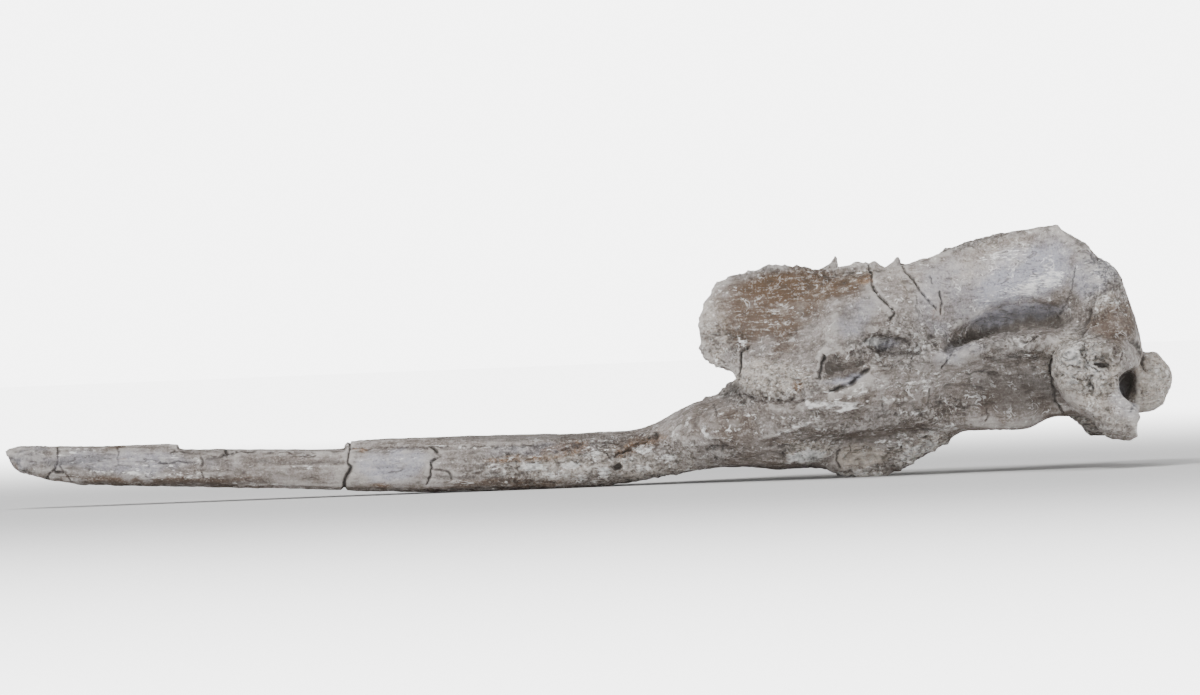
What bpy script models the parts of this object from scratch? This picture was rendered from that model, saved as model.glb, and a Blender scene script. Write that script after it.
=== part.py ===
# Fossil skull of a long-snouted, crested dolphin.
#
# Metres, +Z up. The rostrum (snout) points along -X, the condyles (neck joints) along +X,
# and the animal's left side faces -Y. The skull is one bone mass, so it is one object.
# The tables are in millimetres from the rostrum's tip and above the rostrum's underside.
# At the end the skull is turned and lowered onto the two places it lies on, with the middle
# of its box over the origin.

import math

import bmesh
import bpy
import numpy as np
from mathutils import Matrix, Vector

MM = 0.001

# Driving dimensions
SKULL_LENGTH = 700.0 * MM
TABLE_LENGTH = 700.0
UNIT = SKULL_LENGTH / TABLE_LENGTH

# Depth of the flat worn where the skull lies, and depth of the ground that trims it
REST_TRIM = 0.8 * MM
GROUND_DEPTH = 40.0

# Fineness of the surface: table units between slices, points per table point, fusing grid,
# share of the fused faces kept
SLICE_STEP = 4.0
RING_STEPS = 3
VOXEL = 2.4 * MM
KEEP_FACES = 0.08

BONE_COLOUR = (0.36, 0.32, 0.29, 1.0)
BONE_ROUGHNESS = 0.78

# Rostrum: distance from the tip, underside height, top height, half width
ROSTRUM = [
    (0.0, 21.5, 26.0, 3.0),
    (3.0, 18.0, 27.0, 6.5),
    (8.4, 12.4, 28.8, 9.5),
    (17.0, 9.4, 28.4, 12.0),
    (27.0, 6.8, 28.2, 13.5),
    (45.0, 4.5, 27.8, 15.0),
    (87.0, 3.3, 28.9, 17.5),
    (140.0, 2.4, 29.6, 19.5),
    (200.0, 1.4, 30.6, 21.5),
    (251.0, 0.0, 33.3, 24.0),
    (297.0, 1.6, 34.6, 26.0),
    (333.0, 1.7, 35.2, 28.0),
    (358.0, 4.2, 36.2, 30.0),
    (381.0, 7.5, 38.3, 33.0),
]

# Half section of the rostrum, from under the midline round to the top: share of the half width,
# share of the height. The two premaxillae are the ridge at the top, with a groove between them.
ROSTRUM_SECTION = [
    (0.00, 0.070), (0.26, 0.030), (0.52, 0.000), (0.76, 0.035), (0.91, 0.120), (0.98, 0.240),
    (1.00, 0.380), (0.98, 0.520), (0.91, 0.650), (0.80, 0.770), (0.66, 0.870), (0.48, 0.955),
    (0.26, 1.000), (0.00, 0.945),
]

# Cranium: distance from the tip, then the half section from under the midline round to the top,
# as distance from the midline and height. The points are, in turn: underside midline,
# beside it, lower flange, lower flank, flank, middle flank, under the shelf, shelf edge (orbit or
# root of the cheek arch), groove above the shelf, side of the braincase, under the rim,
# temporal rim, roof beside the midline, roof midline.
CRANIUM = [
    (404.0, [(0, 15), (12, 12.6), (25, 12), (33, 17), (38, 23), (40, 29), (40, 35),
             (38, 40), (33, 44), (27, 46.5), (19, 48.5), (12, 49.6), (6, 49.4), (0, 48)]),
    (422.0, [(0, 18), (13, 15), (28, 14.4), (39, 19), (46, 26), (50, 33), (51, 40),
             (48, 46), (42, 50), (34, 53), (25, 55.4), (16, 56.8), (8, 56.6), (0, 55)]),
    (441.0, [(0, 20), (14, 16.5), (30, 15.8), (42, 20), (52, 28), (57, 37), (59, 46),
             (57, 53), (52, 58), (46, 63), (36, 66.5), (24, 69), (10, 70), (0, 68.5)]),
    (465.0, [(0, 20), (16, 15.5), (32, 14.4), (44, 18), (53, 27), (65, 38), (69, 47),
             (66, 55), (61, 62), (56, 69), (46, 72), (32, 75), (14, 77), (0, 76)]),
    (489.0, [(0, 21), (16, 16), (31, 15), (40, 20), (49, 29), (67, 40), (73, 51),
             (72, 63), (68, 73), (64, 83), (52, 87), (34, 89), (15, 90), (0, 88)]),
    (505.0, [(0, 25), (16, 16), (29, 9.4), (34, 19), (41, 30), (61, 40), (71, 52),
             (75, 66), (73, 79), (68, 91), (54, 96), (34, 98), (14, 99), (0, 97)]),
    (524.0, [(0, 31), (14, 19), (28, 8.9), (33, 20), (40, 31), (58, 42), (68, 55),
             (73, 70), (73, 85), (69, 98), (55, 106), (35, 109), (14, 110), (0, 108)]),
    (537.0, [(0, 34), (13, 24), (28, 14.6), (34, 23), (41, 34), (55, 44), (64, 58),
             (69, 74), (69, 89), (66, 101), (54, 111), (36, 115), (14, 116), (0, 114)]),
    (561.0, [(0, 45), (13, 36), (27, 28.4), (37, 31), (45, 38), (50, 51), (56, 67),
             (64, 82), (53, 90), (53, 106), (52, 124), (46, 140), (33, 143), (0, 139)]),
    (585.0, [(0, 55), (13, 46), (24, 39.0), (38, 37), (47, 41), (50, 55), (55, 72),
             (64, 88), (40, 97), (48, 113), (49, 133), (44, 147), (34, 152), (0, 145)]),
    (609.0, [(0, 57), (13, 48), (24, 40.0), (39, 37.5), (48, 41), (50, 55), (57, 74),
             (69, 91), (39, 101), (49, 117), (49, 138), (45, 152), (35, 157.5), (0, 147)]),
    (633.0, [(0, 57), (13, 52), (26, 47.0), (39, 45), (49, 48), (51, 62), (59, 78),
             (73, 91), (46, 101), (52, 118), (53, 138), (52, 151), (41, 158), (0, 147)]),
    (650.0, [(0, 54), (13, 50), (27, 46), (38, 47), (47, 52), (52, 64), (60, 78),
             (70, 90), (60, 103), (60, 118), (59, 131), (57, 141), (44, 148), (0, 143)]),
    (662.0, [(0, 53), (12, 51), (24, 49), (36, 50), (47, 56), (57, 66), (64, 78),
             (67, 90), (65, 102), (63, 114), (58, 125), (49, 133), (33, 137), (0, 133)]),
    (672.5, [(0, 54), (10, 53), (20, 53), (30, 55), (40, 60), (50, 68), (57, 78),
             (59, 87), (57, 96), (53, 105), (46, 112), (37, 117), (22, 120), (0, 119)]),
    (679.0, [(0, 58), (8, 57), (17, 58), (26, 60), (34, 64), (40, 69), (44, 75),
             (45, 80), (43, 86), (40, 91), (34, 95), (25, 98), (12, 99), (0, 98)]),
]

# Crest over the face, on each side: distance from the tip, lower edge (distance from the
# midline, height), upper edge (the same), thickness, outward bow at mid height
CREST = [
    (416.4, (50.0, 90.0), (48.0, 103.6), 4.0, 0.0),
    (418.5, (51.5, 82.5), (46.0, 110.6), 6.0, 0.5),
    (424.0, (55.0, 78.0), (43.0, 123.4), 8.5, 1.5),
    (431.0, (58.5, 74.5), (42.0, 129.9), 10.5, 2.0),
    (438.0, (61.0, 71.5), (42.5, 132.8), 12.0, 2.0),
    (442.5, (63.0, 61.0), (43.0, 133.8), 12.5, 2.0),
    (453.0, (67.0, 57.5), (44.5, 136.4), 13.0, 0.5),
    (465.0, (71.0, 57.5), (46.5, 138.6), 13.5, -1.0),
    (477.0, (74.5, 59.0), (48.5, 137.0), 14.0, -1.5),
    (485.0, (77.0, 62.5), (50.0, 136.8), 14.0, -1.0),
    (489.0, (77.0, 82.0), (50.5, 137.0), 13.5, 0.0),
    (501.0, (77.0, 85.0), (52.0, 137.6), 13.0, 1.0),
    (515.0, (76.5, 90.0), (52.5, 140.8), 13.0, 2.0),
    (527.0, (73.5, 94.0), (52.0, 137.6), 12.5, 2.5),
    (545.0, (66.0, 98.0), (49.5, 140.4), 12.0, 2.5),
    (561.0, (57.0, 102.0), (47.0, 144.0), 10.0, 1.5),
    (577.0, (49.0, 108.0), (43.0, 148.0), 8.0, 0.0),
    (595.0, (43.0, 112.0), (38.0, 150.0), 6.0, 0.0),
]

# Root of the cheek arch, broken off short, with the process below and behind it, as an outline
# seen from the side: distance from the tip and height
CHEEK_ROOT = [
    (623.5, 76.0), (624.5, 84.0), (629.0, 89.5), (638.0, 92.2), (648.0, 93.2), (658.0, 91.0),
    (666.5, 86.0), (670.0, 79.0), (667.0, 71.0), (667.0, 62.0), (672.0, 53.0), (678.5, 44.0),
    (678.0, 34.5), (669.0, 32.6), (658.0, 34.8), (648.0, 39.5), (639.5, 47.0), (630.5, 54.0),
    (625.0, 65.0),
]
CHEEK_MIDDLE = (648.0, 70.0)
CHEEK_TOP = 93.2

# How the outline changes outwards: distance from the midline, size, share of the depth below
# the top that is left, for the process hangs from the outer half only
CHEEK_STEPS = [
    (44.0, 0.94, 0.30),
    (60.0, 0.96, 0.38),
    (67.0, 0.98, 0.72),
    (71.0, 1.00, 0.96),
    (76.0, 1.00, 1.00),
    (82.0, 0.98, 1.00),
    (87.0, 0.91, 0.98),
    (90.5, 0.80, 0.94),
    (92.6, 0.62, 0.88),
    (93.0, 0.40, 0.80),
]

CONDYLE_CENTRE = (683.5, 22.5, 65.5)
CONDYLE_RADII = (15.8, 15.5, 19.0)

# Spurs left on the far crest's upper edge: distance from the tip, foot height, tip height
FAR_SPURS = [(497.0, 130.0, 141.0), (536.0, 133.0, 141.0)]

# Hollows on the midline: name, centre, radii and turn about Y in degrees
MIDDLE_HOLLOWS = [
    ("brain_hollow", (636.0, 0.0, 90.0), (34.0, 33.0, 30.0), 0.0),
    ("foramen_magnum", (676.0, 0.0, 76.0), (22.0, 15.0, 17.0), 0.0),
]

# Hollows cut on both sides alike: name, centre, radii and turn about Y in degrees
SIDE_HOLLOWS = [
    ("sinus", (606.0, 31.0, 37.0), (36.0, 8.0, 24.0), 0.0),
    ("choana", (550.0, 11.0, 26.0), (22.0, 8.0, 17.0), 35.0),
    ("orbit", (531.0, 77.0, 89.0), (21.0, 11.0, 6.5), 0.0),
    ("side_window", (674.0, 50.0, 62.0), (8.0, 26.0, 13.5), 8.0),
    ("nostril", (546.0, 8.0, 118.0), (8.0, 5.5, 22.0), -25.0),
]

# Stretch of the rostrum whose top is broken away: first, last, height left
MISSING_TOP = (104.0, 203.5, 25.3)


def slopes(at, values):
    """Slope of each column of values at each station, for a curve that passes through them all."""
    slope = np.zeros_like(values)
    step = np.diff(at)[:, None]
    chord = np.diff(values, axis=0) / step
    slope[1:-1] = (chord[:-1] * step[1:] + chord[1:] * step[:-1]) / (step[1:] + step[:-1])
    slope[0] = chord[0]
    slope[-1] = chord[-1]
    return slope


def smooth_through(at, values, wanted):
    """Cubic curve through the rows of values at the stations, read at the wanted stations."""
    at = np.asarray(at, float)
    values = np.asarray(values, float)
    slope = slopes(at, values)
    index = np.clip(np.searchsorted(at, wanted, side="right") - 1, 0, len(at) - 2)
    step = (at[index + 1] - at[index])[:, None]
    t = ((wanted - at[index])[:, None]) / step
    return (
        (2 * t**3 - 3 * t**2 + 1) * values[index]
        + (t**3 - 2 * t**2 + t) * step * slope[index]
        + (3 * t**2 - 2 * t**3) * values[index + 1]
        + (t**3 - t**2) * step * slope[index + 1]
    )


def stations_between(first, last, step):
    return np.linspace(first, last, max(2, round((last - first) / step) + 1))


def rounded(section):
    """A half section as a smooth run of points that passes through its own points."""
    count = len(section)
    wanted = np.linspace(0, count - 1, (count - 1) * RING_STEPS + 1)
    return smooth_through(np.arange(count), section, wanted)


def loft(name, rings):
    """Closed body through rings of (x, y, z) points in millimetres, each with a flat end cap."""
    mesh = bmesh.new()
    rows = [[mesh.verts.new(Vector(p) * UNIT) for p in ring] for ring in rings]
    for first, second in zip(rows, rows[1:]):
        for i in range(len(first)):
            j = (i + 1) % len(first)
            mesh.faces.new((first[i], first[j], second[j], second[i]))
    mesh.faces.new(rows[0][::-1])
    mesh.faces.new(rows[-1])
    bmesh.ops.recalc_face_normals(mesh, faces=mesh.faces)
    return object_from(name, mesh)


def object_from(name, mesh):
    data = bpy.data.meshes.new(name)
    mesh.to_mesh(data)
    mesh.free()
    obj = bpy.data.objects.new(name, data)
    bpy.context.scene.collection.objects.link(obj)
    return obj


def make_core():
    """Rostrum, face, braincase and back of the skull as one loft of mirrored half sections."""
    at = []
    halves = []
    for x, under, top, half_width in ROSTRUM:
        at.append(x)
        halves.append([(half_width * y, under + (top - under) * z) for y, z in ROSTRUM_SECTION])
    for x, section in CRANIUM:
        at.append(x)
        halves.append(section)
    halves = np.array([rounded(np.array(h, float)) for h in halves])
    wanted = stations_between(at[0], at[-1], SLICE_STEP)
    flat = smooth_through(at, halves.reshape(len(at), -1), wanted)
    rings = []
    for x, row in zip(wanted, flat.reshape(len(wanted), -1, 2)):
        left = [(x, -y, z) for y, z in row]
        right = [(x, y, z) for y, z in row[-2:0:-1]]
        rings.append(left + right)
    return loft("core", rings)


def make_crest(name, side, shorten):
    """One crest: a plate that rises from the orbit, leans inwards and overhangs the rostrum."""
    at = np.array([row[0] for row in CREST])
    values = np.array([[*row[1], *row[2], row[3], row[4]] for row in CREST])
    wanted = stations_between(at[0], at[-1], SLICE_STEP / 2)
    rings = []
    for x, row in zip(wanted, smooth_through(at, values, wanted)):
        low = Vector((row[0], row[1]))
        high = Vector((row[2], row[3]))
        thick, bow = row[4], row[5]
        across = (high - low).normalized()
        out = Vector((across.y, -across.x))
        outer = []
        inner = []
        for t in np.linspace(0, 1, 13):
            taper = math.sin(math.pi * min(max(t, 0.03), 0.97)) ** 0.25
            middle = low.lerp(high, t) + out * (bow * math.sin(math.pi * t) - thick / 2)
            half = thick / 2 * taper * (1.0 - 0.35 * t)
            outer.append(middle + out * half)
            inner.append(middle - out * half)
        ring = outer + inner[::-1]
        shift = shorten * (at[-1] - x) / (at[-1] - at[0])
        rings.append([(x + shift, side * p.x, p.y) for p in ring])
    return loft(name, rings)


def make_cheek_root(name, side):
    """The outline, lofted outwards from the braincase and rounded off at its broken face."""
    middle = Vector(CHEEK_MIDDLE)
    rings = []
    for out, size, depth in CHEEK_STEPS:
        ring = [middle + (Vector(p) - middle) * size for p in CHEEK_ROOT]
        rings.append([(p.x, side * out, CHEEK_TOP - (CHEEK_TOP - p.y) * depth) for p in ring])
    return loft(name, rings)


def make_ball(name, centre, radii, turn=0.0):
    """An ellipsoid, turned about Y by turn degrees."""
    mesh = bmesh.new()
    bmesh.ops.create_uvsphere(mesh, u_segments=32, v_segments=20, radius=1.0)
    place = (
        Matrix.Translation(Vector(centre) * UNIT)
        @ Matrix.Rotation(math.radians(turn), 4, "Y")
        @ Matrix.Diagonal((*(Vector(radii) * UNIT), 1.0))
    )
    mesh.transform(place)
    return object_from(name, mesh)


def make_spur(name, x, foot, tip):
    """A splinter that stands up from the far crest's edge."""
    mesh = bmesh.new()
    bmesh.ops.create_cone(
        mesh, cap_ends=True, segments=10, radius1=5.0, radius2=1.6, depth=tip - foot
    )
    place = (
        Matrix.Scale(UNIT, 4)
        @ Matrix.Translation((x, 46.0, (foot + tip) / 2))
        @ Matrix.Rotation(math.radians(12), 4, "Y")
    )
    mesh.transform(place)
    return object_from(name, mesh)


def make_box(name, low, high):
    mesh = bmesh.new()
    bmesh.ops.create_cube(mesh, size=1.0)
    low = Vector(low)
    high = Vector(high)
    place = (
        Matrix.Scale(UNIT, 4)
        @ Matrix.Translation((low + high) / 2)
        @ Matrix.Diagonal((*(high - low), 1.0))
    )
    mesh.transform(place)
    return object_from(name, mesh)


def join(name, pieces):
    """One mesh object that holds all the pieces, whose shells may overlap."""
    mesh = bmesh.new()
    for piece in pieces:
        mesh.from_mesh(piece.data)
        bpy.data.objects.remove(piece)
    return object_from(name, mesh)


def move_to(obj, name):
    """Puts the object in the collection called name, made when it isn't there yet."""
    collection = bpy.data.collections.get(name)
    if collection is None:
        collection = bpy.data.collections.new(name)
        bpy.context.scene.collection.children.link(collection)
    bpy.context.scene.collection.objects.unlink(obj)
    collection.objects.link(obj)


def as_cutter(obj):
    obj.hide_render = True
    obj.display_type = "WIRE"
    move_to(obj, "cutters")


def bone_material():
    material = bpy.data.materials.new("fossil_bone")
    material.use_nodes = True
    shader = material.node_tree.nodes["Principled BSDF"]
    shader.inputs["Base Color"].default_value = BONE_COLOUR
    shader.inputs["Roughness"].default_value = BONE_ROUGHNESS
    shader.inputs["Metallic"].default_value = 0.0
    return material


def add_modifier(obj, kind, name, **settings):
    modifier = obj.modifiers.new(name, kind)
    for key, value in settings.items():
        setattr(modifier, key, value)
    return modifier


def shown_triangles(obj):
    """Triangles of the object as its modifiers leave it, as an array of corner points."""
    bpy.context.view_layer.update()
    shown = obj.evaluated_get(bpy.context.evaluated_depsgraph_get())
    mesh = bmesh.new()
    mesh.from_mesh(shown.to_mesh())
    mesh.transform(obj.matrix_world)
    bmesh.ops.triangulate(mesh, faces=mesh.faces)
    corners = np.array([[v.co[:] for v in face.verts] for face in mesh.faces])
    mesh.free()
    shown.to_mesh_clear()
    return corners


def centre_of_mass(corners):
    a, b, c = corners[:, 0], corners[:, 1], corners[:, 2]
    volumes = np.einsum("ij,ij->i", a, np.cross(b, c)) / 6
    return (volumes[:, None] * (a + b + c) / 4).sum(axis=0) / volumes.sum()


def rest_turn(points, balance):
    """Turn about Y that lays the skull on the two lowest places either side of its balance."""
    order = points[np.lexsort((points[:, 2], points[:, 0]))][:, [0, 2]]
    hull = []
    for point in order:
        while len(hull) > 1:
            run = hull[-1] - hull[-2]
            rise = point - hull[-2]
            if run[0] * rise[1] - run[1] * rise[0] > 0:
                break
            hull.pop()
        hull.append(point)
    for first, second in zip(hull, hull[1:]):
        if first[0] <= balance <= second[0]:
            return math.atan2(second[1] - first[1], second[0] - first[0])
    return 0.0


def lay_down(skull, cutter):
    """Turns the skull and its cutter onto the rest, trims the rest flat and centres the box."""
    corners = shown_triangles(skull)
    points = corners.reshape(-1, 3)
    turn = Matrix.Rotation(rest_turn(points, centre_of_mass(corners)[0]), 4, "Y")
    turned = points @ np.array(turn.to_3x3()).T
    middle = (turned.min(axis=0) + turned.max(axis=0)) / 2
    drop = turned[:, 2].min() + REST_TRIM
    place = Matrix.Translation((-middle[0], -middle[1], -drop)) @ turn
    skull.matrix_world = place
    cutter.matrix_world = place
    reach = TABLE_LENGTH
    ground = make_box("ground", (-reach, -reach, -GROUND_DEPTH), (reach, reach, 0.0))
    as_cutter(ground)
    add_modifier(skull, "BOOLEAN", "rest", object=ground, operation="DIFFERENCE", solver="EXACT")


def main():
    for obj in list(bpy.data.objects):
        bpy.data.objects.remove(obj)

    x, y, z = CONDYLE_CENTRE
    pieces = [
        make_core(),
        make_crest("near_crest", -1, 0.0),
        make_crest("far_crest", 1, 3.0),
        make_cheek_root("near_cheek", -1),
        make_cheek_root("far_cheek", 1),
        make_ball("near_condyle", (x, -y, z), CONDYLE_RADII, 12),
        make_ball("far_condyle", (x, y, z), CONDYLE_RADII, 12),
    ]
    pieces += [make_spur(f"spur_{i}", *row) for i, row in enumerate(FAR_SPURS)]
    skull = join("skull", pieces)
    skull.data.materials.append(bone_material())
    move_to(skull, "fossil_dolphin_skull")
    add_modifier(skull, "REMESH", "fuse", mode="VOXEL", voxel_size=VOXEL)

    cutters = [make_ball(*row) for row in MIDDLE_HOLLOWS]
    for name, (x, y, z), radii, turn in SIDE_HOLLOWS:
        cutters.append(make_ball(f"{name}_near", (x, -y, z), radii, turn))
        cutters.append(make_ball(f"{name}_far", (x, y, z), radii, turn))
    first, last, left = MISSING_TOP
    cutters.append(make_box("missing_top", (first, -40.0, left), (last, 40.0, left + 20.0)))
    cutter = join("hollows", cutters)
    add_modifier(cutter, "REMESH", "fuse", mode="VOXEL", voxel_size=VOXEL / 2)
    as_cutter(cutter)
    add_modifier(skull, "BOOLEAN", "hollow", object=cutter, operation="DIFFERENCE")
    add_modifier(skull, "REMESH", "refuse", mode="VOXEL", voxel_size=VOXEL)
    add_modifier(skull, "SMOOTH", "soften", factor=0.5, iterations=2)
    add_modifier(skull, "DECIMATE", "facet", ratio=KEEP_FACES)
    lay_down(skull, cutter)


main()
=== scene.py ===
# Looks of the fossil dolphin skull: surface relief, bone material, studio light and camera.
#
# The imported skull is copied, refined and carved. Places on it are named by the pixel they have
# in the photograph: u to the right, v downwards, and y in millimetres, negative on the side
# that faces the camera. Relief is in millimetres, negative inwards.

import itertools
import math

import bmesh
import bpy
import numpy as np
from mathutils import Matrix, Vector


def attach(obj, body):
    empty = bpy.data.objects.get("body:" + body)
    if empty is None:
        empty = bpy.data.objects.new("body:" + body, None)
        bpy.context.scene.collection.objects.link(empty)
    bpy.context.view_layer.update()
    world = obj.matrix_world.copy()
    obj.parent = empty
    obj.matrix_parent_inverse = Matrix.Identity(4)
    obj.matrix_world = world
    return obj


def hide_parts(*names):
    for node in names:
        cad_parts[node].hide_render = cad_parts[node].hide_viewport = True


MM = 0.001

# Scale and place of the skull in the photograph: its tip is at u 5, its underside at v 492
MM_PER_PIXEL = 0.6
TIP_U = 5.0
BASE_V = 492.0
PHOTO_SIZE = (1200, 695)

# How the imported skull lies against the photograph: a turn about Y and a shift in millimetres
REST_TURN = math.radians(2.274)
REST_SHIFT = (-351.142, 0.0, 10.64)

# The fine mesh: its grid, the rounds that smooth it, and its most triangles
GRID = 0.8 * MM
WELD_REACH = 0.01 * MM
SMOOTH_ROUNDS = 4
MOST_TRIANGLES = 188000

# Rounds of smoothing that tell a rim from a face, and fine, wide and broad hollows, which darken hollows
# with dirt and painted shade and lighten ridges with wear and a painted highlight
RIM_ROUNDS = 30
HOLLOW_ROUNDS = (2, 14, 50)

# u where the strong relief of the cranium sets in, and millimetres from the middle to its outer parts
CRANIUM_FROM = (700, 760)
OUTER_FROM = (22, 34)

# Soft edges of a patch, and of a pit or knob: where each starts and ends, 1 being the ellipse itself
PATCH_EDGE = (0.55, 1.25)
SPOT_EDGE = (0.3, 1.0)

# Tooth sockets: spacing in pixels, half length, half width and depth in millimetres
SOCKET_SPACING = 13.5
SOCKET_HALVES = (2.9, 2.3)
SOCKET_DEPTH = 2.0

# The old break's depth, and the far side's crack: u, half width in pixels, depth in millimetres
BREAK_DEPTH = 1.7
FAR_CRACK = (468, 1.6, 1.2)

CAMERA_DISTANCE = 4.0
SENSOR_WIDTH = 36.0

WHITE = (1.0, 1.0, 1.0, 1.0)
FLOOR_COLOUR = (0.85, 0.85, 0.85, 1.0)

# The studio floor's brightness far out, and how far out it sets in and is full, in metres
SWEEP_GLOW = 5.0
SWEEP_FROM = (0.3, 3.0)

# Brightness of the studio's wall and ceiling, and how high above the horizon one fades to the other
WALL_GLOW = 6.0
CEILING_GLOW = 0.30
WALL_FADE = (0.07, 0.16)

# Numbers that scatter the lattice cells of the noise, one for each axis and one for the seed
CELL_FACTORS = (73856093, 19349663, 83492791)
SEED_FACTOR = 2971215073

# Colours of the bone, its stains and its marks, and of the painted shade and highlight, as screen values
# from 0 to 255
COLOURS = {
    "grey bone": (120, 111, 105),
    "pale bone": (156, 149, 145),
    "veil": (110, 101, 94),
    "mottle": (104, 93, 83),
    "brown": (93, 74, 57),
    "blue": (170, 170, 181),
    "cream": (198, 187, 175),
    "rust": (142, 112, 86),
    "light grain": (200, 194, 190),
    "dark grain": (76, 67, 59),
    "light speck": (236, 232, 228),
    "dark speck": (58, 52, 46),
    "hair crack": (62, 54, 47),
    "chalk": (248, 247, 245),
    "dirt_and_hollow_shade": (64, 59, 53),
    "wear_and_highlight": (210, 205, 200),
    "cut_and_shade": (38, 36, 33),
}


def photo_to_row():
    """Matrix from millimetres along the photograph's axes to metres in the row frame."""
    turn = Matrix.Rotation(REST_TURN, 4, "Y")
    return Matrix.Scale(MM, 4) @ Matrix.Translation(REST_SHIFT) @ turn


def photo_place(points):
    """u, y and v of row-frame points."""
    inverse = np.array(photo_to_row().inverted())
    own = points @ inverse[:3, :3].T + inverse[:3, 3]
    return TIP_U + own[:, 0] / MM_PER_PIXEL, own[:, 1], BASE_V - own[:, 2] / MM_PER_PIXEL


def photo_vector(u, y, v):
    """Millimetres along the photograph's axes of a place that is named by its pixel."""
    return Vector(((u - TIP_U) * MM_PER_PIXEL, y, (BASE_V - v) * MM_PER_PIXEL))


# Noise


def scatter(cell, seed):
    """A repeatable number from 0 to 1 for each lattice cell."""
    x, y, z = (cell[:, axis] * factor for axis, factor in enumerate(CELL_FACTORS))
    mixed = x ^ y ^ z ^ seed * SEED_FACTOR
    mixed = (mixed ^ (mixed >> 13)) * 1274126177
    mixed = (mixed ^ (mixed >> 16)) & 0xFFFF
    return mixed / 65535.0


def lattice_noise(points, size, seed):
    """Smooth noise from -1 to 1 whose bumps are about size across; size is one number or three."""
    scaled = points / np.asarray(size, float)
    base = np.floor(scaled).astype(np.int64)
    part = scaled - base
    curve = part**3 * (part * (part * 6 - 15) + 10)
    total = np.zeros(len(points))
    for corner in itertools.product((0, 1), repeat=3):
        weight = np.ones(len(points))
        for axis in range(3):
            weight = weight * (curve[:, axis] if corner[axis] else 1 - curve[:, axis])
        total += weight * (scatter(base + np.array(corner), seed) * 2 - 1)
    return total


def layered_noise(points, size, seed, layers=3, fade=0.5):
    total = np.zeros(len(points))
    strength = 1.0
    for layer in range(layers):
        total += strength * lattice_noise(points, np.asarray(size, float) / 2**layer, seed + layer)
        strength *= fade
    return total


def noise_pair(points, size, seeds, layers=3):
    """Two noises side by side, for wandering in u and v."""
    return np.stack([layered_noise(points, size, seed, layers) for seed in seeds], axis=1)


def pit_noise(points, size, seed, share):
    """Round pits about size apart: 1 at a pit's middle, 0 outside. Share of the cells have one."""
    scaled = points / np.asarray(size, float)
    base = np.floor(scaled).astype(np.int64)
    best = np.zeros(len(points))
    for step in itertools.product((-1, 0, 1), repeat=3):
        cell = base + np.array(step)
        middle = np.stack([scatter(cell, seed + k) for k in range(3)], axis=1) + cell
        radius = 0.22 + 0.30 * scatter(cell, seed + 3)
        there = scatter(cell, seed + 4) < share
        away = np.linalg.norm(scaled - middle, axis=1)
        best = np.maximum(best, there * np.clip(1 - away / radius, 0, 1))
    return best


def lobe_noise(points, size, seed):
    """Round lobes with sharp creases between them, 0 in a crease and up to 1 on a lobe."""
    detail = lattice_noise(points, np.asarray(size) / 3, seed + 1)
    return np.abs(lattice_noise(points, size, seed) + 0.25 * detail)


def ease(low, high, value):
    """0 up to low and 1 from high on, with a smooth step between."""
    t = np.clip((value - low) / (high - low), 0, 1)
    return t * t * (3 - 2 * t)


# Places on the side of the skull


def line_distance(u, v, points):
    """Distance in pixels to a broken line through the points, and how far along it, 0 to 1."""
    best = np.full(len(u), 1e6)
    along = np.zeros(len(u))
    pieces = list(zip(points, points[1:]))
    for i, ((u0, v0), (u1, v1)) in enumerate(pieces):
        du, dv = u1 - u0, v1 - v0
        t = np.clip(((u - u0) * du + (v - v0) * dv) / (du * du + dv * dv), 0, 1)
        away = np.hypot(u - u0 - t * du, v - v0 - t * dv)
        nearer = away < best
        best = np.where(nearer, away, best)
        along = np.where(nearer, (i + t) / len(pieces), along)
    return best, along


def spot_share(u, v, spots, edge=PATCH_EDGE, share=1.0):
    """The most that any of a list of soft ellipses gives each point, over a share of the surface.

    A spot is u, v, half width, half height, size, and a tilt in degrees if it has one.
    """
    total = np.zeros(len(u))
    for u0, v0, wide, high, size, *tilt in spots:
        turn = math.radians(sum(tilt))
        c, s = math.cos(turn), math.sin(turn)
        a = ((u - u0) * c - (v - v0) * s) / wide
        b = ((u - u0) * s + (v - v0) * c) / high
        total = np.maximum(total, size * (1 - ease(*edge, np.hypot(a, b))) * share)
    return total


def box_around(u, v, share, points, reach):
    """Indices of what lies within reach of the box of a line's points, and on the share."""
    us, vs = zip(*points)
    beside = (u > min(us) - reach) & (u < max(us) + reach)
    level = (v > min(vs) - reach) & (v < max(vs) + reach)
    return np.flatnonzero((share > 0) & beside & level)
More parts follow.
